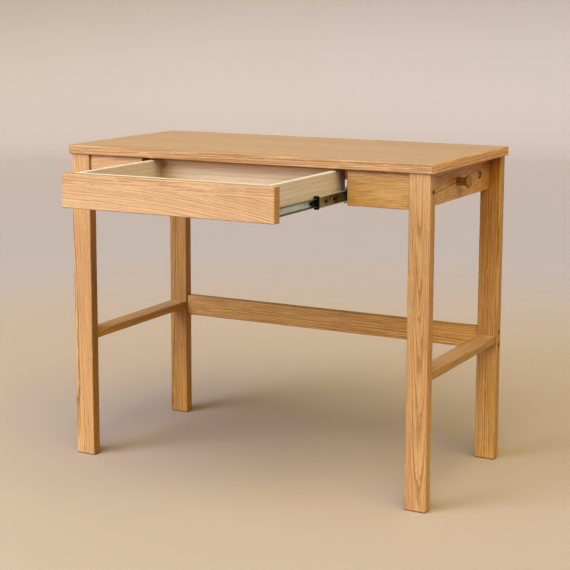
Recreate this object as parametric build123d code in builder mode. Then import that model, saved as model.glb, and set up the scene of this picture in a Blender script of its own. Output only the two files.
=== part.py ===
# One-drawer oak writing desk with its drawer pulled out.
# Millimetres. +X is the sitter's right, +Y goes to the wall, +Z is up.
# The origin is on the floor, in the middle of the desk and its open drawer.
import os

from build123d import *

os.makedirs("parts", exist_ok=True)

# Desk top
top_w = 900
top_d = 450
desk_h = 730
top_t = 20
lipping_t = 6
top_corner = 4
top_arris = 1.5
side_overhang = 8
front_overhang = 4
rear_overhang = 4

# Legs: flat boards, wide face to the front
leg_w = 48
leg_d = 25
leg_arris = 1.5
foot_chamfer = 3

# Rails, apron and stretchers
rail_h = 76
rail_t = 20
apron_t = 20
board_arris = 1
stretcher_level = 285.5
side_stretcher_w = 42
side_stretcher_t = 17
rear_stretcher_h = 50
rear_stretcher_t = 20

# Front blocks and the runners behind them
block_t = 22
block_recess = 6
opening_w = 508
runner_t = 30
runner_inset = 11

# Drawer
front_t = 21
front_side_gap = 6
front_top_gap = 5
front_arris = 1.5
box_wall = 12
box_tail = 24
box_top_rise = 0.5
box_round = 1.5
bottom_t = 4
bottom_rise = 6
groove_depth = 5

# Telescopic slides: nested channels with rows of balls between them
slide_l = 300
slide_over_travel = 10
slide_space = 13
slide_setback = 2
inner_setback = 3
sheet = 1.2
bend_r = 2.6
outer_h = 33
outer_web_gap = 0.6
inner_web_gap = 0.8
outer_tip_gap = 2
middle_tip_gap = 1.8
slide_floor_gap = 0.5
inner_below_box = 1.5
middle_share = 0.5
middle_lag = 29
bumper_l = 9
bumper_gap = 0.4
bumper_lobe_r = 3.2
bumper_lobe_rise = 1.5

# Openings in the slides, measured back from each member's front end
inner_slot_w = 4
inner_slot_h = 9
inner_slots_at = (38, 152)
inner_hole_r = 2
inner_hole_at = 134
middle_slot_l = 12
middle_slot_h = 6
middle_slots_at = (31, 68)
middle_hole_r = 3.2
middle_holes_at = (51, 100, 190)

# Balls and cages
ball_r = 1.2
ball_clearance = 0.2
ball_count = 7
ball_pitch = 10
cage_t = 0.8
cage_w = 5
cage_end = 10
cage_hole_gap = 0.15

# Release levers in the inner members
lever_at = 184
lever_tail = 28
lever_nose = 20
lever_h = 6
lever_t = 4
lever_boss_r = 4.5
lever_web_gap = 0.8
pivot_r = 1.5
pivot_clearance = 0.05
pivot_end_gap = 0.3
pivot_head_r = 2.6
pivot_head_h = 0.8

# Hook peg on the right rail
peg_r = 9
peg_head_r = 14.5
peg_head_t = 5
peg_round = 1.2
peg_spigot_r = 5
peg_spigot_wall = 5

# Joint bolts, inserts and barrel nuts
bolt_r = 3
bolt_hole_gap = 0.25
bolt_head_r = 5.5
bolt_head_h = 2.5
bolt_sink = 1.5
bolt_socket_w = 4
bolt_socket_depth = 1.5
bolt_reach = 16
bolt_tip_room = 4
insert_r = 5
insert_l = 20
stretcher_bolt_edge = 10
barrel_from_end = 60
barrel_r = 9
barrel_wall = 3
barrel_sink = 0.3
barrel_slot_w = 2
barrel_slot_depth = 1.5

# Dowels, and how far they lie from the edges of their boards
dowel_r = 4
dowel_l = 30
rail_dowel_edge = 20
leg_dowel_edge = 11
stretcher_dowel_edge = 10
box_dowel_r = 3
box_dowel_l = 24
box_dowel_in_side = 8
box_joint_rise = 7
box_joint_drop = 15

# Angle brackets under the top
bracket_leg = 25
bracket_w = 20
bracket_t = 2
bracket_hole_gap = 0.25
bracket_hole_at = 15
rail_bracket_spread = 200
apron_bracket_spread = 300

# Wood screws
screw_r = 2
screw_l = 14
screw_head_r = 4
screw_head_h = 2.2
front_screw_cover = 7
front_screw_spread = 320
slide_screw_r = 1.75
slide_screw_head_r = 3.5
slide_screw_head_h = 1
slide_screw_tip_gap = 0.5
inner_screw_front = 12
inner_screw_rear = 10
inner_screw_past_lever = 28
outer_screw_front = 40
outer_screw_rear = 38

# Screw head shape, as shares of the head's radius and height
head_taper = 0.7
cross_l = 1
cross_w = 0.25
cross_depth = 0.5

# Heights
top_z = desk_h - top_t
rail_z = top_z - rail_h
rail_mid_z = rail_z + rail_h / 2
slide_z = rail_z + slide_floor_gap + outer_h / 2
ball_gap = (ball_r + ball_clearance) * 2
middle_h = outer_h - (sheet + ball_gap) * 2
inner_h = middle_h - (sheet + ball_gap) * 2
front_top_z = top_z - front_top_gap
box_z = slide_z - inner_h / 2 + inner_below_box
box_top_z = front_top_z + box_top_rise
bottom_z = box_z + bottom_rise
box_joint_zs = (bottom_z + bottom_t + box_joint_rise, box_top_z - box_joint_drop)

# Places across the desk, from the middle
leg_out = top_w / 2 - side_overhang
leg_in = leg_out - leg_w
leg_mid = (leg_in + leg_out) / 2
rail_out = leg_in + rail_t
rail_mid = (leg_in + rail_out) / 2
open_half = opening_w / 2
runner_in = open_half - runner_inset
runner_out = runner_in + runner_t
front_half = open_half - front_side_gap
box_half = runner_in - slide_space
box_in = box_half - box_wall
bracket_x = (runner_out + leg_in) / 2

# Places from front to back
drawer_open = slide_l + slide_over_travel
drawer_reach = drawer_open - front_overhang - block_recess
top_y0 = (drawer_reach - top_d) / 2
top_y1 = top_y0 + top_d
front_leg_y0 = top_y0 + front_overhang
front_leg_y1 = front_leg_y0 + leg_d
rear_leg_y1 = top_y1 - rear_overhang
rear_leg_y0 = rear_leg_y1 - leg_d
rail_mid_y = (front_leg_y1 + rear_leg_y0) / 2
block_y0 = front_leg_y0 + block_recess
block_y1 = block_y0 + block_t
apron_y0 = rear_leg_y1 - apron_t
rear_stretcher_y0 = rear_leg_y1 - rear_stretcher_t
front_y0 = block_y0 - drawer_open
front_y1 = front_y0 + front_t
box_front_y1 = front_y1 + box_wall
inner_y0 = front_y1 + inner_setback
inner_y1 = inner_y0 + slide_l
box_y1 = inner_y1 + box_tail
box_back_y0 = box_y1 - box_wall

# Slide places, with the middle members their share of the way out
outer_y0 = block_y1 + slide_setback
middle_y0 = outer_y0 + middle_lag - middle_share * drawer_open
middle_y1 = middle_y0 + slide_l - middle_lag
bumper_y0 = middle_y0 - bumper_l
pivot_y = inner_y0 + lever_at
middle_depth = slide_space - sheet - slide_screw_head_h - outer_web_gap
inner_depth = middle_depth - sheet - inner_web_gap
slide_screw_l = sheet + box_wall - groove_depth - slide_screw_tip_gap
outer_y1 = outer_y0 + slide_l
outer_mid_y = outer_y0 + slide_l / 2
lever_screw_y = pivot_y + inner_screw_past_lever
inner_screw_ys = (inner_y0 + inner_screw_front, lever_screw_y, inner_y1 - inner_screw_rear)
outer_screw_ys = (outer_y0 + outer_screw_front, outer_mid_y, outer_y1 - outer_screw_rear)

sides = (("left", -1), ("right", 1))
ends = (-1, 1)
across = (1, 0, 0)
along = (0, 1, 0)


# A span between two places, low end first
def span(a, b):
    return min(a, b), max(a, b)


# A span of a given size about its middle
def about(middle, size):
    return middle - size / 2, middle + size / 2


# A straight board between three spans
def board(xs, ys, zs, mode=Mode.ADD):
    middle = [(low + high) / 2 for low, high in (xs, ys, zs)]
    with Locations(tuple(middle)):
        Box(xs[1] - xs[0], ys[1] - ys[0], zs[1] - zs[0], mode=mode)


# A place on a surface, looking along an axis
def facing(place, axis):
    return Plane(place, z_dir=axis).location


# Places moved back into the surface that they lie on
def sunk(places, depth):
    return [place * Location((0, 0, -depth)) for place in places]


# Round bars with their middles at the given places
def bars(places, radius, length, mode=Mode.ADD):
    with Locations(*places):
        Cylinder(radius, length, mode=mode)


# Round bars that run back from the given places
def shanks(places, radius, length, mode=Mode.ADD):
    with Locations(*places):
        Cylinder(radius, length, align=(Align.CENTER, Align.CENTER, Align.MAX), mode=mode)


# Round heads that stand on the given places
def heads(places, radius, height):
    with Locations(*places):
        Cylinder(radius, height, align=(Align.CENTER, Align.CENTER, Align.MIN))


# Tapered screw heads with a cross recess, sized from the head
def screw_heads(places, radius, height):
    with Locations(*places):
        Cone(radius, radius * head_taper, height, align=(Align.CENTER, Align.CENTER, Align.MIN))
    depth = height * cross_depth
    with Locations(*sunk(places, -height)):
        Box(radius * cross_l, radius * cross_w, depth * 2, mode=Mode.SUBTRACT)
        Box(radius * cross_w, radius * cross_l, depth * 2, mode=Mode.SUBTRACT)


# Holes that run back from the given places
def bores(places, radius, depth):
    shanks(places, radius, depth, Mode.SUBTRACT)


# Small chamfers on a board's edges along one axis
def ease(builder, axis, length):
    chamfer(builder.part.edges().filter_by(axis), length)


# Name a finished piece and write it
def save(builder, name):
    builder.part.label = name
    export_step(builder.part, f"parts/{name}.step")


# Places of the frame's dowels, bolts, inserts and barrel nuts
block_joint_y = (block_y0 + front_leg_y1) / 2
apron_mid_y = (apron_y0 + rear_leg_y1) / 2
rear_stretcher_mid_y = (rear_stretcher_y0 + rear_leg_y1) / 2
runner_dowel_x = (open_half + runner_out) / 2
dowels = []
block_bolts = []
block_inserts = []
stretcher_bolts = []
stretcher_inserts = []
rail_bolts = []
barrels = []
for name, s in sides:
    for end in ends:
        rail_dowel_z = rail_mid_z + end * (rail_h / 2 - rail_dowel_edge)
        leg_dowel_z = rail_mid_z + end * (rail_h / 2 - leg_dowel_edge)
        dowels.append(facing((s * rail_mid, front_leg_y1, rail_dowel_z), along))
        dowels.append(facing((s * rail_mid, rear_leg_y0, leg_dowel_z), along))
        dowels.append(facing((s * leg_in, block_joint_y, leg_dowel_z), across))
        dowels.append(facing((s * leg_in, apron_mid_y, rail_dowel_z), across))
        dowels.append(facing((s * runner_dowel_x, block_y1, rail_dowel_z), along))
        dowels.append(facing((s * runner_dowel_x, apron_y0, rail_dowel_z), along))
        low_x = s * leg_mid + end * (side_stretcher_w / 2 - stretcher_dowel_edge)
        dowels.append(facing((low_x, front_leg_y1, stretcher_level), along))
        dowels.append(facing((low_x, rear_leg_y0, stretcher_level), along))
        low_z = stretcher_level + end * (rear_stretcher_h / 2 - stretcher_bolt_edge)
        stretcher_bolts.append(facing((s * leg_out, rear_stretcher_mid_y, low_z), (s, 0, 0)))
        stretcher_inserts.append(facing((s * leg_in, rear_stretcher_mid_y, low_z), (s, 0, 0)))
    block_bolts.append(facing((s * leg_out, block_joint_y, rail_mid_z), (s, 0, 0)))
    block_inserts.append(facing((s * leg_in, block_joint_y, rail_mid_z), (s, 0, 0)))
    rail_bolts.append(facing((s * rail_mid, rear_leg_y1, rail_mid_z), along))
    barrels.append(facing((s * rail_out, rear_leg_y0 - barrel_from_end, rail_mid_z), (s, 0, 0)))

side_bolt_l = leg_w + bolt_reach
rail_bolt_l = leg_d + barrel_from_end + barrel_r + bolt_tip_room
barrel_l = rail_t - barrel_sink - barrel_wall
peg_spigot_l = rail_t - peg_spigot_wall
peg_place = facing((rail_out, rail_mid_y, rail_mid_z), across)

# Brackets: the corner under the top, and the way the foot points
brackets = []
for name, s in sides:
    for end in ends:
        brackets.append((s * leg_in, rail_mid_y + end * rail_bracket_spread / 2, -s, 0))
    brackets.append((s * apron_bracket_spread / 2, apron_y0, 0, -1))
    brackets.append((s * bracket_x, block_y1, 0, 1))

bracket_screws = []
for x, y, dx, dy in brackets:
    on_wall = (x + dx * bracket_t, y + dy * bracket_t, top_z - bracket_hole_at)
    on_foot = (x + dx * bracket_hole_at, y + dy * bracket_hole_at, top_z - bracket_t)
    bracket_screws.append(facing(on_wall, (dx, dy, 0)))
    bracket_screws.append(facing(on_foot, (0, 0, -1)))

# Slide screws, on the inside of each member's web
outer_screws = []
inner_screws = []
for name, s in sides:
    for y in outer_screw_ys:
        outer_screws.append(facing((s * (runner_in - sheet), y, slide_z), (-s, 0, 0)))
    for y in inner_screw_ys:
        inner_screws.append(facing((s * (box_half + sheet), y, slide_z), (s, 0, 0)))

# Drawer screws and the dowels of the box corners
front_screw_l = box_wall + front_t - front_screw_cover
front_screws = []
box_dowels = []
for end in ends:
    for z in box_joint_zs:
        front_screws.append(facing((end * front_screw_spread / 2, box_front_y1, z), along))
        dowel_x = end * (box_in + box_dowel_in_side - box_dowel_l / 2)
        for y in (front_y1 + box_wall / 2, box_y1 - box_wall / 2):
            box_dowels.append(facing((dowel_x, y, z), across))


# Every hole of the frame's joinery that meets the board being made
def drill_frame():
    bars(dowels, dowel_r, dowel_l, Mode.SUBTRACT)
    for bolts, length in ((block_bolts + stretcher_bolts, side_bolt_l), (rail_bolts, rail_bolt_l)):
        bores(bolts, bolt_head_r, bolt_sink + bolt_head_h)
        bores(bolts, bolt_r + bolt_hole_gap, length + bolt_tip_room)
    bores(block_inserts + stretcher_inserts, insert_r, insert_l)
    bores(barrels, barrel_r, barrel_sink + barrel_l)
    bores(bracket_screws, screw_r, screw_l)
    bores(outer_screws, slide_screw_r, slide_screw_l)


# Desk top: the core, then four mitred lippings cut from one chamfered slab
core_x = top_w / 2 - lipping_t
core_y0 = top_y0 + lipping_t
core_y1 = top_y1 - lipping_t
with BuildPart() as desk_top:
    board((-core_x, core_x), (core_y0, core_y1), (top_z, desk_h))
    bores(bracket_screws, screw_r, screw_l)
save(desk_top, "desk_top")

half_w = top_w / 2
outer_corners = ((-half_w, top_y0), (half_w, top_y0), (half_w, top_y1), (-half_w, top_y1))
inner_corners = ((-core_x, core_y0), (core_x, core_y0), (core_x, core_y1), (-core_x, core_y1))
for i, edge in enumerate(("front", "right", "rear", "left")):
    j = (i + 1) % len(outer_corners)
    with BuildPart() as lipping:
        board((-half_w, half_w), (top_y0, top_y1), (top_z, desk_h))
        ease(lipping, Axis.Z, top_corner)
        levels = lipping.faces().sort_by(Axis.Z)
        chamfer(levels[0].edges() + levels[-1].edges(), top_arris)
        with BuildSketch(Plane.XY.offset(top_z)):
            Polygon(outer_corners[i], outer_corners[j], inner_corners[j], inner_corners[i], align=None)
        extrude(amount=top_t, mode=Mode.INTERSECT)
    save(lipping, f"top_lipping_{edge}")

# Legs
for name, s in sides:
    for row, ys in (("front", (front_leg_y0, front_leg_y1)), ("rear", (rear_leg_y0, rear_leg_y1))):
        with BuildPart() as leg:
            board(span(s * leg_in, s * leg_out), ys, (0, top_z))
            chamfer(leg.faces().sort_by(Axis.Z)[0].edges(), foot_chamfer)
            ease(leg, Axis.Z, leg_arris)
            drill_frame()
        save(leg, f"{row}_{name}_leg")

# Side rails, with the peg's socket in the right one
for name, s in sides:
    with BuildPart() as side_rail:
        board(span(s * leg_in, s * rail_out), (front_leg_y1, rear_leg_y0), (rail_z, top_z))
        ease(side_rail, Axis.Y, board_arris)
        drill_frame()
        if name == "right":
            bores([peg_place], peg_spigot_r, peg_spigot_l)
    save(side_rail, f"{name}_side_rail")

# Low stretchers
stretcher_zs = about(stretcher_level, side_stretcher_t)
for name, s in sides:
    with BuildPart() as low_stretcher:
        board(about(s * leg_mid, side_stretcher_w), (front_leg_y1, rear_leg_y0), stretcher_zs)
        ease(low_stretcher, Axis.Y, board_arris)
        drill_frame()
    save(low_stretcher, f"{name}_low_stretcher")

with BuildPart() as rear_stretcher:
    board((-leg_in, leg_in), (rear_stretcher_y0, rear_leg_y1), about(stretcher_level, rear_stretcher_h))
    ease(rear_stretcher, Axis.X, board_arris)
    drill_frame()
save(rear_stretcher, "rear_stretcher")

# Rear apron
with BuildPart() as rear_apron:
    board((-leg_in, leg_in), (apron_y0, rear_leg_y1), (rail_z, top_z))
    ease(rear_apron, Axis.X, board_arris)
    drill_frame()
save(rear_apron, "rear_apron")

# Front blocks and the drawer runners behind them
for name, s in sides:
    with BuildPart() as front_block:
        board(span(s * open_half, s * leg_in), (block_y0, block_y1), (rail_z, top_z))
        ease(front_block, Axis.X, board_arris)
        drill_frame()
    save(front_block, f"{name}_front_block")

    with BuildPart() as drawer_runner:
        board(span(s * runner_in, s * runner_out), (block_y1, apron_y0), (rail_z, top_z))
        ease(drawer_runner, Axis.Y, board_arris)
        drill_frame()
    save(drawer_runner, f"{name}_drawer_runner")

# Hook peg: spigot, shaft and head turned in one piece, level with the legs' outer face
peg_l = leg_out - rail_out
with BuildPart() as hook_peg:
    shanks([peg_place], peg_spigot_r, peg_spigot_l)
    heads([peg_place], peg_r, peg_l)
    shanks(sunk([peg_place], -peg_l), peg_head_r, peg_head_t)
    rims = hook_peg.edges().filter_by(GeomType.CIRCLE).sort_by(SortBy.RADIUS)[-2:]
    fillet(rims, peg_round)
save(hook_peg, "hook_peg")

# Joint bolts with a hexagon-key socket
bolt_sets = (
    ("block_bolts", block_bolts, side_bolt_l),
    ("stretcher_bolts", stretcher_bolts, side_bolt_l),
    ("rail_bolts", rail_bolts, rail_bolt_l),
)
for name, places, length in bolt_sets:
    seats = sunk(places, bolt_sink)
    with BuildPart() as bolts:
        shanks(seats, bolt_head_r, bolt_head_h)
        shanks(seats, bolt_r, length - bolt_sink)
        with BuildSketch(*[Plane(seat) for seat in seats]):
            RegularPolygon(bolt_socket_w / 2, 6, major_radius=False)
        extrude(amount=-bolt_socket_depth, mode=Mode.SUBTRACT)
    save(bolts, name)

for name, places in (("block_inserts", block_inserts), ("stretcher_inserts", stretcher_inserts)):
    with BuildPart() as inserts:
        shanks(places, insert_r, insert_l)
        bores(places, bolt_r, insert_l)
    save(inserts, name)

# Barrel nuts, with a slot to line them up
with BuildPart() as barrel_nuts:
    barrel_seats = sunk(barrels, barrel_sink)
    shanks(barrel_seats, barrel_r, barrel_l)
    with Locations(*barrel_seats):
        Box(barrel_slot_w, barrel_r * 2, barrel_slot_depth * 2, mode=Mode.SUBTRACT)
    bores(rail_bolts, bolt_r, rail_bolt_l)
save(barrel_nuts, "rail_barrel_nuts")

with BuildPart() as frame_dowels:
    bars(dowels, dowel_r, dowel_l)
save(frame_dowels, "frame_dowels")

# Angle brackets that hold the top, and their screws
with BuildPart() as top_brackets:
    for x, y, dx, dy in brackets:
        with BuildSketch(Plane((x, y, top_z), x_dir=(dx, dy, 0), z_dir=(dy, -dx, 0))):
            Rectangle(bracket_leg, bracket_t, align=(Align.MIN, Align.MAX))
            Rectangle(bracket_t, bracket_leg, align=(Align.MIN, Align.MAX))
        extrude(amount=bracket_w / 2, both=True)
    bores(bracket_screws, screw_r + bracket_hole_gap, bracket_t)
save(top_brackets, "top_brackets")

with BuildPart() as bracket_screw_set:
    screw_heads(bracket_screws, screw_head_r, screw_head_h)
    shanks(bracket_screws, screw_r, screw_l)
save(bracket_screw_set, "bracket_screws")


# Drawer bottom, also cut from the boards that hold its edges
def bottom_panel(mode=Mode.ADD):
    half = box_in + groove_depth
    depth = (box_front_y1 - groove_depth, box_back_y0 + groove_depth)
    board((-half, half), depth, (bottom_z, bottom_z + bottom_t), mode)


with BuildPart() as drawer_front:
    board((-front_half, front_half), (front_y0, front_y1), (rail_z, front_top_z))
    chamfer(drawer_front.faces().sort_by(Axis.Y)[0].edges(), front_arris)
    bores(front_screws, screw_r, front_screw_l)
save(drawer_front, "drawer_front")

box_ends = (
    ("drawer_box_front", (front_y1, box_front_y1)),
    ("drawer_back", (box_back_y0, box_y1)),
)
for name, ys in box_ends:
    with BuildPart() as box_end:
        board((-box_in, box_in), ys, (box_z, box_top_z))
        fillet(box_end.edges().filter_by(Axis.X).group_by(Axis.Z)[-1], box_round)
        bottom_panel(Mode.SUBTRACT)
        bores(front_screws, screw_r, front_screw_l)
        bars(box_dowels, box_dowel_r, box_dowel_l, Mode.SUBTRACT)
    save(box_end, name)

for name, s in sides:
    with BuildPart() as drawer_side:
        board(span(s * box_in, s * box_half), (front_y1, box_y1), (box_z, box_top_z))
        fillet(drawer_side.edges().filter_by(Axis.Y).group_by(Axis.Z)[-1], box_round)
        bottom_panel(Mode.SUBTRACT)
        bars(box_dowels, box_dowel_r, box_dowel_l, Mode.SUBTRACT)
        bores(inner_screws, slide_screw_r, slide_screw_l)
    save(drawer_side, f"drawer_{name}_side")

with BuildPart() as drawer_bottom:
    bottom_panel()
save(drawer_bottom, "drawer_bottom")

with BuildPart() as drawer_front_screws:
    screw_heads(front_screws, screw_head_r, screw_head_h)
    shanks(front_screws, screw_r, front_screw_l)
save(drawer_front_screws, "drawer_front_screws")

with BuildPart() as drawer_box_dowels:
    bars(box_dowels, box_dowel_r, box_dowel_l)
save(drawer_box_dowels, "drawer_box_dowels")


# One bent channel of a slide, from its open tips to its web, measured out from the drawer side
def channel(builder, s, tip, web, height, ys):
    cavity = web - sheet if web > tip else web + sheet
    hollow = span(s * (box_half + tip), s * (box_half + cavity))
    board(span(s * (box_half + tip), s * (box_half + web)), ys, about(slide_z, height))
    board(hollow, ys, about(slide_z, height - sheet * 2), Mode.SUBTRACT)
    outward = s * (web - tip) > 0
    inside = builder.edges().filter_by(Axis.Y).group_by(Axis.X)[-2 if outward else 1]
    fillet(inside, bend_r - sheet)
    outside = builder.edges().filter_by(Axis.Y).group_by(Axis.X)[-1 if outward else 0]
    fillet(outside, bend_r)


for name, s in sides:
    with BuildPart() as slide_outer:
        channel(slide_outer, s, outer_tip_gap, slide_space, outer_h, (outer_y0, outer_y1))
        bores(outer_screws, slide_screw_r, slide_screw_l)
    save(slide_outer, f"{name}_slide_outer")

    with BuildPart() as slide_inner:
        channel(slide_inner, s, inner_depth, 0, inner_h, (inner_y0, inner_y1))
        web = span(s * box_half, s * (box_half + sheet))
        for place in inner_slots_at:
            board(web, about(inner_y0 + place, inner_slot_w), about(slide_z, inner_slot_h), Mode.SUBTRACT)
        web_face = s * (box_half + sheet)
        bores([facing((web_face, inner_y0 + inner_hole_at, slide_z), (s, 0, 0))], inner_hole_r, sheet)
        bores([facing((web_face, pivot_y, slide_z), (s, 0, 0))], pivot_r, sheet)
        bores(inner_screws, slide_screw_r, slide_screw_l)
    save(slide_inner, f"{name}_slide_inner")

    with BuildPart() as slide_middle:
        channel(slide_middle, s, middle_tip_gap, middle_depth, middle_h, (middle_y0, middle_y1))
        web_face = s * (box_half + middle_depth)
        slots = [(web_face, middle_y0 + place, slide_z) for place in middle_slots_at]
        with BuildSketch(*[Plane(slot, x_dir=along, z_dir=(s, 0, 0)) for slot in slots]):
            SlotOverall(middle_slot_l, middle_slot_h)
        extrude(amount=-sheet, mode=Mode.SUBTRACT)
        spots = [facing((web_face, middle_y0 + place, slide_z), (s, 0, 0)) for place in middle_holes_at]
        bores(spots, middle_hole_r, sheet)
    save(slide_middle, f"{name}_slide_middle")

    with BuildPart() as slide_bumper:
        body = span(s * (box_half + middle_tip_gap), s * (box_half + middle_depth))
        lobe_y = bumper_y0 + bumper_lobe_r
        lobe_z = middle_h / 2 + bumper_lobe_rise - bumper_lobe_r
        board(body, (lobe_y, middle_y0), about(slide_z, middle_h))
        lobes = [facing((sum(body) / 2, lobe_y, slide_z + end * lobe_z), across) for end in ends]
        bars(lobes, bumper_lobe_r, body[1] - body[0])
        room = span(s * (box_half + middle_tip_gap), s * (box_half + inner_depth + bumper_gap))
        board(room, (bumper_y0, middle_y0), about(slide_z, inner_h + bumper_gap * 2), Mode.SUBTRACT)
    save(slide_bumper, f"{name}_slide_bumper")

with BuildPart() as slide_outer_screws:
    screw_heads(outer_screws, slide_screw_head_r, slide_screw_head_h)
    shanks(outer_screws, slide_screw_r, slide_screw_l)
save(slide_outer_screws, "slide_outer_screws")

with BuildPart() as slide_inner_screws:
    screw_heads(inner_screws, slide_screw_head_r, slide_screw_head_h)
    shanks(inner_screws, slide_screw_r, slide_screw_l)
save(slide_inner_screws, "slide_inner_screws")

# Ball cages: a strip above and below, in the gap between two channels
cage_l = (ball_count - 1) * ball_pitch + cage_end * 2
stages = (
    ("outer", (outer_y0 + middle_y1) / 2, (outer_tip_gap + middle_depth) / 2, middle_h),
    ("inner", (middle_y0 + inner_y1) / 2, (middle_tip_gap + inner_depth) / 2, inner_h),
)
for name, s in sides:
    for stage, cage_y, reach, height in stages:
        cage_x = s * (box_half + reach)
        rows = [slide_z + end * (height + ball_gap) / 2 for end in ends]
        steps = [cage_y + (i - (ball_count - 1) / 2) * ball_pitch for i in range(ball_count)]
        spots = [Location((cage_x, y, z)) for z in rows for y in steps]
        with BuildPart() as cage:
            for z in rows:
                board(about(cage_x, cage_w), about(cage_y, cage_l), about(z, cage_t))
            bars(spots, ball_r + cage_hole_gap, cage_t, Mode.SUBTRACT)
        save(cage, f"{name}_{stage}_ball_cage")

        with BuildPart() as balls:
            with Locations(*spots):
                Sphere(ball_r)
        save(balls, f"{name}_{stage}_balls")

# Release levers, and the pins that they turn on
lever_reach = sheet + lever_web_gap
pivot_l = lever_reach + lever_t + pivot_end_gap
pins = []
for name, s in sides:
    lever_face = Plane((s * (box_half + lever_reach), pivot_y, slide_z), x_dir=along, z_dir=(s, 0, 0))
    with BuildPart() as lever:
        with BuildSketch(lever_face):
            Circle(lever_boss_r)
            with Locations(((lever_nose - lever_tail) / 2, 0)):
                Rectangle(lever_nose + lever_tail, lever_h)
            Circle(pivot_r + pivot_clearance, mode=Mode.SUBTRACT)
        extrude(amount=lever_t)
    save(lever, f"{name}_release_lever")
    pins.append(facing((s * (box_half + pivot_l), pivot_y, slide_z), (s, 0, 0)))

with BuildPart() as lever_pins:
    shanks(pins, pivot_r, pivot_l)
    heads(pins, pivot_head_r, pivot_head_h)
save(lever_pins, "release_lever_pins")
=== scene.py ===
import math

import bmesh
import bpy
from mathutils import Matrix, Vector


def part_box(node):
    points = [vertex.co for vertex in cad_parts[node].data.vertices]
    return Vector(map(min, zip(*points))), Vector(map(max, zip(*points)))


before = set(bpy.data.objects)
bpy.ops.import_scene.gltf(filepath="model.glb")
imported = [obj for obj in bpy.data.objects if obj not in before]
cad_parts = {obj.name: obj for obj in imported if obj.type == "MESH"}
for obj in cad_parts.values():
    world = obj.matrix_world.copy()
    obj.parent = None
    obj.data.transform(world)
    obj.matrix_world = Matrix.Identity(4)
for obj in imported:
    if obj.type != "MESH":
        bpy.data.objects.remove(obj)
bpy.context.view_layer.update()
print("desk loaded:", len(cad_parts), "nodes")


# a node with its settings, its plain values and its links in one call
def addNode(tree, kind, inputs=None, **settings):
    node = tree.nodes.new(kind)
    for name, value in settings.items():
        setattr(node, name, value)
    for key, value in (inputs or {}).items():
        if isinstance(value, bpy.types.NodeSocket):
            tree.links.new(value, node.inputs[key])
        else:
            node.inputs[key].default_value = value
    return node


def calc(tree, operation, a, b=0.0):
    return addNode(tree, "ShaderNodeMath", {0: a, 1: b}, operation=operation).outputs[0]


def vectorCalc(tree, operation, a, b):
    return addNode(tree, "ShaderNodeVectorMath", {0: a, 1: b}, operation=operation).outputs[0]


def lengthOf(tree, vector):
    return addNode(tree, "ShaderNodeVectorMath", {0: vector}, operation="LENGTH").outputs[1]


def ramp(tree, value, low, high, bottom=0.0, top=1.0):
    inputs = {"Value": value, "From Min": low, "From Max": high, "To Min": bottom, "To Max": top}
    return addNode(tree, "ShaderNodeMapRange", inputs, interpolation_type="SMOOTHSTEP").outputs[0]


def mixColour(tree, factor, a, b, blend="MIX"):
    node = addNode(tree, "ShaderNodeMix", {0: factor, 6: a, 7: b}, data_type="RGBA", blend_type=blend)
    return node.outputs[2]


# noise stretched by a scale for each axis
def stretchedNoise(tree, vector, stretch, detail=2.0, roughness=0.5):
    stretched = vectorCalc(tree, "MULTIPLY", vector, stretch)
    inputs = {"Vector": stretched, "Scale": 1.0, "Detail": detail, "Roughness": roughness}
    return addNode(tree, "ShaderNodeTexNoise", inputs).outputs[0]


def bumpFrom(tree, height, strength, distance):
    inputs = {"Height": height, "Strength": strength, "Distance": distance}
    return addNode(tree, "ShaderNodeBump", inputs).outputs[0]


def opaque(colour, tone=1.0):
    return tuple(channel * tone for channel in colour) + (1.0,)


def newGroup(name, inputs, outputs):
    tree = bpy.data.node_groups.new(name, "ShaderNodeTree")
    kinds = {"vector": "NodeSocketVector", "colour": "NodeSocketColor", "value": "NodeSocketFloat"}
    for label, kind in inputs.items():
        tree.interface.new_socket(label, in_out="INPUT", socket_type=kinds[kind])
    for label, kind in outputs.items():
        tree.interface.new_socket(label, in_out="OUTPUT", socket_type=kinds[kind])
    return tree, tree.nodes.new("NodeGroupInput").outputs, tree.nodes.new("NodeGroupOutput").inputs


def useGroup(tree, group, inputs):
    return addNode(tree, "ShaderNodeGroup", inputs, node_tree=group).outputs


def newMaterial(name):
    material = bpy.data.materials.new(name)
    material.use_nodes = True
    tree = material.node_tree
    return material, tree, tree.nodes["Principled BSDF"]


def dress(node, material):
    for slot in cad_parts[node].material_slots:
        slot.material = material


def addObject(name, data):
    thing = bpy.data.objects.new(name, data)
    bpy.context.collection.objects.link(thing)
    return thing


# what all boards share: stretches along and across the grain, in features per metre, the push of the waves
# in metres, and the noise values between which a feature grows from nothing to full
grainLook = {
    "slowWaves": (2.5, 14.0, 14.0), "middlingWaves": (14.0, 60.0, 60.0), "fineWaves": (60.0, 350.0, 350.0),
    "middlingPush": 0.0028, "finePush": 0.0012, "weatherScale": 0.23, "weatherYears": 2.4,
    "earlyGrows": (0.0, 0.08), "earlyFades": (0.12, 0.55), "leastVigour": 0.45,
    "tones": (1.3, 22.0, 22.0), "toneRange": (0.25, 0.75), "mostDeep": 0.7,
    "streaks": (7.0, 320.0, 320.0), "streakRange": (0.40, 0.66),
    "flecks": (28.0, 260.0, 260.0), "fleckRange": (0.55, 0.72),
    "pores": (75.0, 1500.0, 1500.0), "poreRange": (0.54, 0.66), "earlyPores": 0.75, "latePores": 0.25,
    "endGrain": 0.3, "roughness": 0.4, "poreRoughness": 0.14, "streakRoughness": 0.1,
    "poreHeight": -0.8, "ringHeight": -0.3,
}


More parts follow.
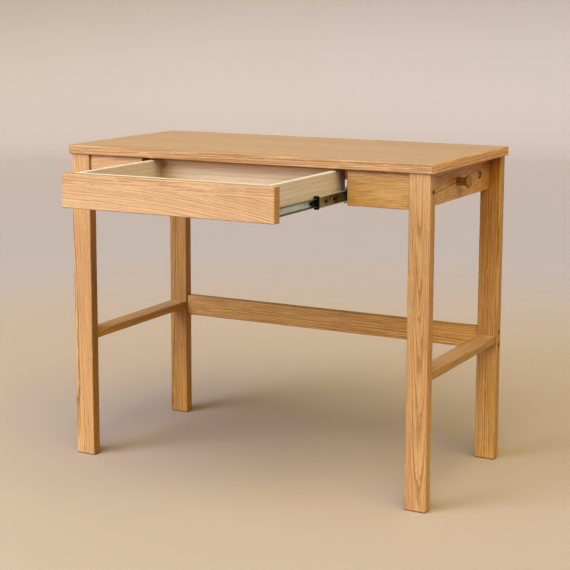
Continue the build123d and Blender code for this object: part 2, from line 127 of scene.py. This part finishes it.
# growth rings about a heart line, with pores and streaks along the grain; the grain runs along X of Board
def makeWoodGrain():
    tree, given, out = newGroup(
        "wood grain",
        {"Board": "vector", "End Grain": "value", "Pale": "colour", "Deep": "colour", "Ring": "colour",
         "Pore": "colour", "Ring Width": "value", "Wander": "value", "Ring Strength": "value",
         "Streak Strength": "value", "Pore Strength": "value"},
        {"Color": "colour", "Roughness": "value", "Height": "value"})
    board = given["Board"]
    look = grainLook

    # the way that the rings bend: slow waves along the board, then finer and finer ones, to both sides
    # because the noise lies about a half
    pushes = {
        "slowWaves": given["Wander"], "middlingWaves": look["middlingPush"], "fineWaves": look["finePush"]}
    reach = lengthOf(tree, vectorCalc(tree, "MULTIPLY", board, (0.0, 1.0, 1.0)))
    for waves, push in pushes.items():
        wave = calc(tree, "SUBTRACT", stretchedNoise(tree, board, look[waves]), 0.5)
        reach = calc(tree, "ADD", reach, calc(tree, "MULTIPLY", wave, push))

    # good and bad years, and the early wood at the start of each year
    turns = calc(tree, "DIVIDE", reach, given["Ring Width"])
    weather = {"W": turns, "Scale": look["weatherScale"], "Detail": 1.0}
    years = addNode(tree, "ShaderNodeTexNoise", weather, noise_dimensions="1D").outputs[0]
    turns = calc(tree, "ADD", turns, calc(tree, "MULTIPLY", years, look["weatherYears"]))
    year = calc(tree, "FRACT", turns)
    which = calc(tree, "FLOOR", turns)
    vigour = addNode(tree, "ShaderNodeTexWhiteNoise", {"W": which}, noise_dimensions="1D").outputs[0]
    grows = ramp(tree, year, *look["earlyGrows"])
    fades = ramp(tree, year, *look["earlyFades"], 1.0, 0.0)
    early = calc(tree, "MULTIPLY", grows, fades)
    early = calc(tree, "MULTIPLY", early, ramp(tree, vigour, 0.0, 1.0, look["leastVigour"], 1.0))

    # broad tones, streaks, pale flecks and dark pores
    tone = stretchedNoise(tree, board, look["tones"], detail=1.0)
    streaks = stretchedNoise(tree, board, look["streaks"], detail=3.0, roughness=0.6)
    streaky = ramp(tree, streaks, *look["streakRange"])
    flecks = ramp(tree, stretchedNoise(tree, board, look["flecks"]), *look["fleckRange"])
    pores = ramp(tree, stretchedNoise(tree, board, look["pores"], detail=1.0), *look["poreRange"])
    porous = calc(tree, "ADD", calc(tree, "MULTIPLY", early, look["earlyPores"]), look["latePores"])
    pores = calc(tree, "MULTIPLY", pores, porous)
    deep = ramp(tree, tone, *look["toneRange"], 0.0, look["mostDeep"])
    colour = mixColour(tree, deep, given["Pale"], given["Deep"])
    layers = (
        (early, given["Ring Strength"], given["Ring"]), (streaky, given["Streak Strength"], given["Ring"]),
        (flecks, given["Streak Strength"], given["Pale"]), (pores, given["Pore Strength"], given["Pore"]),
        (given["End Grain"], look["endGrain"], given["Ring"]))
    for mask, strength, tint in layers:
        colour = mixColour(tree, calc(tree, "MULTIPLY", mask, strength), colour, tint)
    tree.links.new(colour, out["Color"])

    poreRough = calc(tree, "MULTIPLY", pores, look["poreRoughness"])
    streakRough = calc(tree, "MULTIPLY", streaks, look["streakRoughness"])
    rough = calc(tree, "ADD", calc(tree, "ADD", poreRough, streakRough), look["roughness"])
    tree.links.new(rough, out["Roughness"])
    poreHeight = calc(tree, "MULTIPLY", pores, look["poreHeight"])
    ringHeight = calc(tree, "MULTIPLY", early, look["ringHeight"])
    tree.links.new(calc(tree, "ADD", poreHeight, ringHeight), out["Height"])
    return tree


woodGrain = makeWoodGrain()

# how far a face has to look along an axis to count as facing it, how far up a face must look for the
# painted highlight and its most, the plain strip beyond a glue line, and the finish of every board
boardLook = {
    "facing": (0.6, 0.9), "upFacing": (0.5, 0.95), "mostTopLight": 0.75, "glueWidth": 0.002,
    "plainRings": 0.15, "plainStreaks": 0.6, "bump": (0.25, 0.0003), "coatRoughness": 0.3,
}


# wood for one board: its grain axis, the heart of the tree beside it, and the tilt of the cut in degrees;
# a glue line parts a plain strip from a figured one, whose grain a bow bends from a start on; a painted
# side light tints the faces that look towards plus X, and a painted highlight lightens the ones that look
# up
def woodMaterial(name, wood, cut):
    material, tree, shader = newMaterial(name)
    places = addNode(tree, "ShaderNodeTexCoord").outputs
    low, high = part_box(name)
    middle = (Vector(low) + Vector(high)) / 2
    order = {"X": "XYZ", "Y": "YXZ", "Z": "ZXY"}[cut["grain"]]
    centred = vectorCalc(tree, "SUBTRACT", places["Object"], middle)
    place = addNode(tree, "ShaderNodeSeparateXYZ", {0: centred}).outputs
    normal = addNode(tree, "ShaderNodeSeparateXYZ", {0: places["Normal"]}).outputs
    along, across, depth = (place[axis] for axis in order)
    if "bow" in cut:
        start, amount = cut["bow"]
        past = calc(tree, "SUBTRACT", along, start)
        sweep = calc(tree, "MULTIPLY", calc(tree, "MULTIPLY", past, past), amount)
        sweep = calc(tree, "MULTIPLY", sweep, calc(tree, "LESS_THAN", depth, cut["glue"]))
        depth = calc(tree, "ADD", depth, sweep)
    turned = addNode(tree, "ShaderNodeCombineXYZ", {0: along, 1: across, 2: depth}).outputs[0]
    tilt = [math.radians(angle) for angle in cut["tilt"]]
    mapping = {"Vector": turned, "Location": cut["heart"], "Rotation": (0.0, tilt[1], tilt[0])}
    board = addNode(tree, "ShaderNodeMapping", mapping).outputs[0]
    endGrain = ramp(tree, calc(tree, "ABSOLUTE", normal[order[0]]), *boardLook["facing"])
    inputs = {"Board": board, "End Grain": endGrain}
    tone = cut.get("tone", 1.0)
    inputs.update({label: opaque(wood[label], tone) for label in ("Pale", "Deep", "Ring", "Pore")})
    labels = ("Ring Width", "Wander", "Ring Strength", "Streak Strength", "Pore Strength")
    inputs.update({label: cut.get(label, wood[label]) for label in labels})
    if "glue" in cut:
        below, above = (cut["glue"] + side * boardLook["glueWidth"] / 2 for side in (-1, 1))
        for label, plain in (("Ring Strength", "plainRings"), ("Streak Strength", "plainStreaks")):
            inputs[label] = ramp(tree, place[order[2]], below, above, inputs[label], boardLook[plain])
    grain = useGroup(tree, woodGrain, inputs)
    colour = grain["Color"]
    # painted shade and light: the colour of faces that look towards plus X is multiplied by a given tint
    if "paintedSideLight" in cut:
        paintedSideMask = ramp(tree, normal["X"], *boardLook["facing"])
        colour = mixColour(tree, paintedSideMask, colour, opaque(cut["paintedSideLight"]), "MULTIPLY")
    # painted highlight: faces that look up are lightened towards a given colour
    if "edge" in wood:
        paintedTopMask = ramp(tree, normal["Z"], *boardLook["upFacing"], 0.0, boardLook["mostTopLight"])
        colour = mixColour(tree, paintedTopMask, colour, opaque(wood["edge"]))
    tree.links.new(colour, shader.inputs["Base Color"])
    tree.links.new(grain["Roughness"], shader.inputs["Roughness"])
    tree.links.new(bumpFrom(tree, grain["Height"], *boardLook["bump"]), shader.inputs["Normal"])
    shader.inputs["Coat Weight"].default_value = wood["coat"]
    shader.inputs["Coat Roughness"].default_value = boardLook["coatRoughness"]
    return material


def dressBoards(boards, usualWood):
    for name, cut in boards.items():
        dress(name, woodMaterial(name, cut.get("wood", usualWood), cut))
    print("boards dressed:", len(boards))


solidOak = {
    "Pale": (0.64, 0.372, 0.15), "Deep": (0.53, 0.27, 0.092), "Ring": (0.30, 0.13, 0.036),
    "Pore": (0.16, 0.065, 0.02), "Ring Width": 0.0030, "Wander": 0.007, "Ring Strength": 0.85,
    "Streak Strength": 0.48, "Pore Strength": 0.5, "coat": 0.3,
}
pinkOak = dict(solidOak, Pale=(0.64, 0.39, 0.185), Deep=(0.54, 0.285, 0.115))
warmOak = dict(solidOak, Pale=(0.64, 0.362, 0.108), Deep=(0.53, 0.262, 0.066), Ring=(0.30, 0.126, 0.027))
# less blue than the other oaks, as painted shade for the rear left leg, which stands in shade under the
# desk
shadedOak = dict(solidOak, Pale=(0.64, 0.345, 0.085), Deep=(0.53, 0.25, 0.052), Ring=(0.30, 0.12, 0.021))
bareOak = dict(warmOak, coat=0.0)
lippingCut = {"tilt": (0.4, 0.8), "Streak Strength": 0.7}

# each oak board: grain axis, heart of the tree (shift along, across, depth), tilt of the cut, tone; the
# side tint on the front left leg and the low stretchers is painted shade on their faces that look towards
# plus X
oakBoards = {
    "front_left_leg": {
        "grain": "Z", "heart": (0.20, 0.034, 0.045), "tilt": (3.0, 1.0), "tone": 0.99,
        "Ring Strength": 0.95, "Ring Width": 0.0026, "Streak Strength": 0.36, "paintedSideLight": (0.76, 0.71, 0.41)},
    "front_right_leg": {
        "grain": "Z", "heart": (1.30, -0.004, 0.0305), "tilt": (0.8, 1.6), "tone": 0.91, "Wander": 0.012,
        "Streak Strength": 0.38, "Ring Strength": 0.7},
    "rear_left_leg": {
        "grain": "Z", "heart": (2.10, 0.030, 0.050), "tilt": (0.5, 0.8), "tone": 0.92, "wood": shadedOak},
    "rear_right_leg": {
        "grain": "Z", "heart": (3.40, -0.030, 0.040), "tilt": (-0.5, 1.0), "tone": 0.90, "wood": warmOak},
    "left_side_rail": {"grain": "Y", "heart": (4.20, 0.030, 0.010), "tilt": (3.0, 2.0)},
    "right_side_rail": {
        "grain": "Y", "heart": (5.70, -0.030, -0.055), "tilt": (6.0, 7.0), "tone": 1.2, "Wander": 0.014,
        "Ring Width": 0.0042, "Ring Strength": 1.0},
    "left_low_stretcher": {
        "grain": "Y", "heart": (6.10, 0.040, 0.040), "tilt": (0.6, 0.8), "tone": 1.2,
        "paintedSideLight": (0.92, 0.92, 0.62)},
    "right_low_stretcher": {
        "grain": "Y", "heart": (7.40, 0.040, 0.040), "tilt": (0.6, 0.8), "tone": 0.92, "wood": pinkOak,
        "paintedSideLight": (0.87, 0.83, 0.52)},
    "rear_stretcher": {
        "grain": "X", "heart": (8.30, 0.040, 0.035), "tilt": (1.2, 0.6), "tone": 1.08, "wood": warmOak},
    "rear_apron": {"grain": "X", "heart": (9.20, 0.040, 0.030), "tilt": (0.8, 0.8), "tone": 0.98},
    "left_front_block": {
        "grain": "X", "heart": (1.60, 0.030, 0.030), "tilt": (2.0, 3.0), "tone": 1.1, "wood": pinkOak},
    "right_front_block": {
        "grain": "X", "heart": (2.70, -0.030, 0.065), "tilt": (-4.0, 3.0), "tone": 0.87, "wood": warmOak,
        "Ring Strength": 0.7, "Ring Width": 0.0026},
    # the peg's low tone is partly painted shade on its shaded shaft and partly a darker end grain on its
    # head
    "hook_peg": {
        "grain": "X", "heart": (3.10, 0.040, 0.030), "tilt": (1.0, 1.0), "tone": 0.72, "wood": bareOak},
    "drawer_front": {
        "grain": "X", "heart": (4.60, 0.050, 0.300), "tilt": (0.6, 0.4), "tone": 0.97, "wood": pinkOak,
        "bow": (-0.25, 0.2), "glue": 0.012, "Ring Width": 0.0042, "Wander": 0.004, "Streak Strength": 0.3,
        "Ring Strength": 0.55},
    "top_lipping_front": dict(lippingCut, grain="X", heart=(5.20, 0.030, 0.030), tone=0.92),
    "top_lipping_rear": dict(lippingCut, grain="X", heart=(6.30, 0.030, 0.030), tone=0.96),
    "top_lipping_left": dict(lippingCut, grain="Y", heart=(7.10, 0.030, 0.030), tone=0.96),
    "top_lipping_right": dict(lippingCut, grain="Y", heart=(8.80, 0.030, 0.030), tone=1.22),
    "left_drawer_runner": {"grain": "Y", "heart": (9.50, 0.050, 0.030), "tilt": (0.5, 0.8), "tone": 1.05},
    "right_drawer_runner": {"grain": "Y", "heart": (0.70, 0.050, 0.030), "tilt": (0.5, 0.8), "tone": 1.05},
}
dressBoards(oakBoards, solidOak)

topVeneer = solidOak | {
    "Pale": (0.61, 0.385, 0.215), "Deep": (0.53, 0.315, 0.163), "Ring": (0.42, 0.23, 0.105),
    "Ring Width": 0.0035, "Ring Strength": 0.5, "Streak Strength": 0.35, "Pore Strength": 0.35,
}
topBoards = {"desk_top": {"grain": "X", "heart": (2.4, 0.35, 0.20), "tilt": (0.2, 0.3), "tone": 0.95}}
dressBoards(topBoards, topVeneer)

# the paler woods of the drawer box and the dowels; the lighter colours that the box boards take on faces
# that look up are a painted highlight
tanWood = solidOak | {
    "Pale": (0.57, 0.42, 0.235), "Deep": (0.49, 0.34, 0.175), "Ring": (0.39, 0.25, 0.12),
    "Pore": (0.36, 0.25, 0.15), "Ring Width": 0.006, "Ring Strength": 0.4, "Streak Strength": 0.3,
    "Pore Strength": 0.2, "coat": 0.0,
}
panelWood = dict(tanWood, Pale=(0.61, 0.42, 0.275), Deep=(0.53, 0.345, 0.21), Ring=(0.42, 0.26, 0.15))
endWood = dict(tanWood, Pale=(0.63, 0.46, 0.26), Deep=(0.54, 0.375, 0.195), edge=(0.62, 0.53, 0.40))
sideWood = tanWood | {
    "Pale": (0.65, 0.46, 0.26), "Deep": (0.56, 0.375, 0.207), "Ring": (0.44, 0.281, 0.138),
    "edge": (0.66, 0.56, 0.46),
}
# the side tint of the drawer sides is a painted cool light, more green and much more blue on their faces
# that look towards plus X
sideCut = {"grain": "Y", "tilt": (0.8, 1.2), "wood": sideWood, "paintedSideLight": (1.0, 1.174, 1.885)}
boxBoards = {
    "drawer_left_side": dict(sideCut, heart=(1.10, 0.050, 0.030)),
    "drawer_right_side": dict(sideCut, heart=(2.20, 0.050, 0.030), tone=1.08),
    "drawer_box_front": {"grain": "X", "heart": (3.30, 0.050, 0.030), "tilt": (0.6, 1.0), "wood": endWood},
    "drawer_back": {
        "grain": "X", "heart": (4.40, 0.050, 0.030), "tilt": (0.6, 1.0), "tone": 1.09, "wood": endWood},
    "drawer_bottom": {
        "grain": "X", "heart": (5.50, 0.200, 0.080), "tilt": (0.3, 0.4), "tone": 0.85, "wood": panelWood},
    "frame_dowels": {"grain": "X", "heart": (6.60, 0.200, 0.080), "tilt": (0.3, 0.4)},
    "drawer_box_dowels": {"grain": "X", "heart": (7.70, 0.200, 0.080), "tilt": (0.3, 0.4)},
}
dressBoards(boxBoards, tanWood)

steelLook = {
    "marks": (2500.0, 35.0, 2500.0), "clouds": (60.0, 25.0, 60.0), "cloudRange": (0.3, 0.7),
    "roughness": 0.22, "markRoughness": 0.2, "bump": (0.1, 0.0001),
}


# sheet metal with fine rolling marks along Y and soft cloudy plating
def makeRolledSteel():
    tree, given, out = newGroup(
        "rolled steel",
        {"Place": "vector", "Bright": "colour", "Dull": "colour"},
        {"Color": "colour", "Roughness": "value", "Height": "value"})
    marks = stretchedNoise(tree, given["Place"], steelLook["marks"])
    clouds = stretchedNoise(tree, given["Place"], steelLook["clouds"])
    cloudy = ramp(tree, clouds, *steelLook["cloudRange"])
    rough = calc(tree, "MULTIPLY", marks, steelLook["markRoughness"])
    tree.links.new(mixColour(tree, cloudy, given["Bright"], given["Dull"]), out["Color"])
    tree.links.new(calc(tree, "ADD", rough, steelLook["roughness"]), out["Roughness"])
    tree.links.new(marks, out["Height"])
    return tree


rolledSteel = makeRolledSteel()


# plated metal for the slides, brackets, screws and bolts; a band of painted shade, on the middle slide
# members a band of painted highlight, lies as far from the middle of the node as its top and foot do,
# measured along the spread
def steelMaterial(name, finish, node):
    material, tree, shader = newMaterial(name)
    place = addNode(tree, "ShaderNodeTexCoord").outputs["Object"]
    inputs = {"Place": place, "Bright": opaque(finish["bright"]), "Dull": opaque(finish["dull"])}
    steel = useGroup(tree, rolledSteel, inputs)
    colour = steel["Color"]
    shader.inputs["Metallic"].default_value = finish["metallic"]
    # painted shade and highlight: a band near the top and foot of the node takes the band's colour
    if "paintedBand" in finish:
        low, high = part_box(node)
        middle = (Vector(low) + Vector(high)) / 2
        half = (high[2] - low[2]) / 2
        centred = vectorCalc(tree, "SUBTRACT", place, middle)
        reach = lengthOf(tree, vectorCalc(tree, "MULTIPLY", centred, finish["spread"]))
        paintedBand = ramp(tree, reach, half - finish["width"], half - finish["width"] / 2)
        colour = mixColour(tree, paintedBand, colour, opaque(finish["paintedBand"]))
    if "paintedBandMetallic" in finish:
        metallic = ramp(tree, paintedBand, 0.0, 1.0, finish["metallic"], finish["paintedBandMetallic"])
        tree.links.new(metallic, shader.inputs["Metallic"])
        shader.inputs["Specular IOR Level"].default_value = finish["specular"]
    tree.links.new(colour, shader.inputs["Base Color"])
    tree.links.new(steel["Roughness"], shader.inputs["Roughness"])
    tree.links.new(bumpFrom(tree, steel["Height"], *steelLook["bump"]), shader.inputs["Normal"])
    return material


upAndDown = (0.0, 0.0, 1.0)
aroundX = (0.0, 1.0, 1.0)
metalFinishes = {
    "zinc plating": {
        "bright": (0.76, 0.82, 0.84), "dull": (0.62, 0.68, 0.70), "metallic": 0.55,
        "nodes": [
            "block_inserts", "stretcher_inserts", "top_brackets", "bracket_screws", "drawer_front_screws",
            "slide_outer_screws", "slide_inner_screws", "release_lever_pins", "left_slide_outer",
            "right_slide_outer", "left_inner_ball_cage", "right_inner_ball_cage", "left_outer_ball_cage",
            "right_outer_ball_cage"]},
    # inner slide members: a dark band along the top and bottom flanges is painted shade
    "zinc with painted flange shade": {
        "bright": (0.80, 0.93, 0.98), "dull": (0.66, 0.78, 0.82), "metallic": 0.45,
        "paintedBand": (0.16, 0.16, 0.13), "spread": upAndDown, "width": 0.0024,
        "nodes": ["left_slide_inner", "right_slide_inner"]},
    # middle slide members: yellowed zinc darkened as painted shade, with a bright band along top and bottom
    # that is a painted highlight
    "brassy zinc with rubbed edges": {
        "bright": (0.36, 0.35, 0.25), "dull": (0.10, 0.095, 0.065), "metallic": 0.75,
        "paintedBand": (0.80, 0.74, 0.58), "spread": upAndDown, "width": 0.0030,
        "nodes": ["left_slide_middle", "right_slide_middle"]},
    "polished ball steel": {
        "bright": (0.72, 0.72, 0.72), "dull": (0.62, 0.62, 0.62), "metallic": 1.0,
        "nodes": [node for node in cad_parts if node.endswith("_balls")]},
    "dark bronze": {
        "bright": (0.20, 0.13, 0.08), "dull": (0.13, 0.08, 0.05), "metallic": 0.9,
        "nodes": ["block_bolts", "stretcher_bolts", "rail_bolts"]},
    # barrel nuts: aged brass, with a dark ring at the rim that is a painted shadow of the gap around the
    # nut
    "aged brass with painted rim shadow": {
        "bright": (0.55, 0.38, 0.20), "dull": (0.42, 0.28, 0.14), "metallic": 0.4,
        "paintedBand": (0.08, 0.048, 0.024), "spread": aroundX, "width": 0.0052,
        "paintedBandMetallic": 0.0, "specular": 0.1, "nodes": ["rail_barrel_nuts"]},
}
for name, finish in metalFinishes.items():
    metal = steelMaterial(name, finish, finish["nodes"][0])
    for node in finish["nodes"]:
        dress(node, metal)

plasticLook = {
    "specks": (1800.0, 1800.0, 1800.0), "dark": (0.008, 0.008, 0.009), "pale": (0.020, 0.019, 0.018),
    "speckRange": (0.3, 0.7), "roughness": (0.45, 0.6), "specular": 0.25, "bump": (0.15, 0.0001),
}


# black moulded plastic with a fine grain
def mouldedPlastic():
    material, tree, shader = newMaterial("black moulded plastic")
    place = addNode(tree, "ShaderNodeTexCoord").outputs["Object"]
    speck = stretchedNoise(tree, place, plasticLook["specks"])
    colour = mixColour(tree, speck, opaque(plasticLook["dark"]), opaque(plasticLook["pale"]))
    rough = ramp(tree, speck, *plasticLook["speckRange"], *plasticLook["roughness"])
    tree.links.new(colour, shader.inputs["Base Color"])
    tree.links.new(rough, shader.inputs["Roughness"])
    tree.links.new(bumpFrom(tree, speck, *plasticLook["bump"]), shader.inputs["Normal"])
    shader.inputs["Specular IOR Level"].default_value = plasticLook["specular"]
    return material


blackPlastic = mouldedPlastic()
for side in ("left", "right"):
    dress(f"{side}_slide_bumper", blackPlastic)
    dress(f"{side}_release_lever", blackPlastic)
print("metal and plastic dressed")

# a round studio floor that curves up into a wall, far enough out for every view
studio = {
    "innerRadius": 2.0, "floorRadius": 7.0, "curve": 1.5, "wallHeight": 2.6, "steps": 24, "around": 96,
    "weld": 0.0001, "near": (0.435, 0.318, 0.222), "far": (0.418, 0.335, 0.302), "fade": (1.2, 3.2),
    "roughness": 0.6, "specular": 0.25,
}


def makeFloorMesh():
    outline = [(0.0, 0.0), (studio["innerRadius"], 0.0)]
    for i in range(studio["steps"] + 1):
        angle = math.pi / 2 * i / studio["steps"]
        radius = studio["floorRadius"] + studio["curve"] * math.sin(angle)
        outline.append((radius, studio["curve"] * (1 - math.cos(angle))))
    outline.append((outline[-1][0], studio["wallHeight"]))
    shape = bmesh.new()
    points = [shape.verts.new((radius, 0.0, height)) for radius, height in outline]
    edges = [shape.edges.new(pair) for pair in zip(points, points[1:])]
    ring = {"cent": (0, 0, 0), "axis": (0, 0, 1), "angle": math.tau, "steps": studio["around"]}
    bmesh.ops.spin(shape, geom=points + edges, **ring)
    bmesh.ops.remove_doubles(shape, verts=shape.verts, dist=studio["weld"])
    bmesh.ops.recalc_face_normals(shape, faces=shape.faces)
    mesh = bpy.data.meshes.new("studio_floor")
    shape.to_mesh(mesh)
    shape.free()
    mesh.shade_smooth()
    return mesh


def floorMaterial():
    material, tree, shader = newMaterial("pale studio floor")
    place = addNode(tree, "ShaderNodeTexCoord").outputs["Object"]
    fade = ramp(tree, lengthOf(tree, place), *studio["fade"])
    tint = mixColour(tree, fade, opaque(studio["near"]), opaque(studio["far"]))
    tree.links.new(tint, shader.inputs["Base Color"])
    shader.inputs["Roughness"].default_value = studio["roughness"]
    shader.inputs["Specular IOR Level"].default_value = studio["specular"]
    return material


floorMesh = makeFloorMesh()
floorMesh.materials.append(floorMaterial())
floor = addObject("studio_floor", floorMesh)

# soft lights far away: the way round from the front (right is plus), the height and the spread in degrees
farLights = {
    "front": {
        "around": -10.0, "height": 52.0, "spread": 60.0, "strength": 2.3, "colour": (0.66, 0.82, 1.21),
        "glossy": True},
    "side": {
        "around": 50.0, "height": 50.0, "spread": 60.0, "strength": 1.95, "colour": (0.98, 0.97, 0.50),
        "glossy": False},
    "rear": {
        "around": 165.0, "height": 40.0, "spread": 90.0, "strength": 0.8, "colour": (1.0, 0.96, 0.9),
        "glossy": False},
}
for name, lamp in farLights.items():
    lampData = bpy.data.lights.new(name, "SUN")
    lampData.angle = math.radians(lamp["spread"])
    lampData.energy = lamp["strength"]
    lampData.color = lamp["colour"]
    light = addObject(name, lampData)
    light.rotation_euler = (math.radians(90.0 - lamp["height"]), 0.0, math.radians(lamp["around"]))
    light.visible_glossy = lamp["glossy"]

# a large panel near the left, so that the light falls off towards the right
panel = {
    "at": (-1.9, -3.0, 2.0), "aim": (0.0, -0.1, 0.45), "size": 2.0, "power": 88.0,
    "colour": (0.61, 0.78, 1.18),
}
panelData = bpy.data.lights.new("panel", "AREA")
panelData.size = panel["size"]
panelData.energy = panel["power"]
panelData.color = panel["colour"]
panelLight = addObject("panel", panelData)
panelLight.location = panel["at"]
panelWay = Vector(panel["aim"]) - Vector(panel["at"])
panelLight.rotation_euler = panelWay.to_track_quat("-Z", "Y").to_euler()

sky = {"colour": (1.0, 0.82, 0.55), "strength": 0.04}
world = bpy.data.worlds.new("studio sky")
world.use_nodes = True
backdrop = world.node_tree.nodes["Background"]
backdrop.inputs["Color"].default_value = opaque(sky["colour"])
backdrop.inputs["Strength"].default_value = sky["strength"]
bpy.context.scene.world = world
bpy.context.scene.view_settings.view_transform = "Standard"
bpy.context.scene.view_settings.look = "High Contrast"
print("studio lit")

# the photograph's viewing angle: turn and dip in degrees, the focal length in pixels of a 570 pixel frame
viewpoint = {
    "at": (1.539, -2.788, 1.042), "turn": 28.75, "dip": 8.61, "focal": 1459.0, "frame": 570.0,
    "sensor": 36.0, "shift": (0.0453, -0.10),
}
cameraData = bpy.data.cameras.new("photo_camera")
cameraData.sensor_width = viewpoint["sensor"]
cameraData.lens = viewpoint["sensor"] * viewpoint["focal"] / viewpoint["frame"]
cameraData.shift_x, cameraData.shift_y = viewpoint["shift"]
camera = addObject("photo_camera", cameraData)
camera.location = viewpoint["at"]
camera.rotation_euler = (math.radians(90.0 - viewpoint["dip"]), 0.0, math.radians(viewpoint["turn"]))
bpy.context.scene.camera = camera
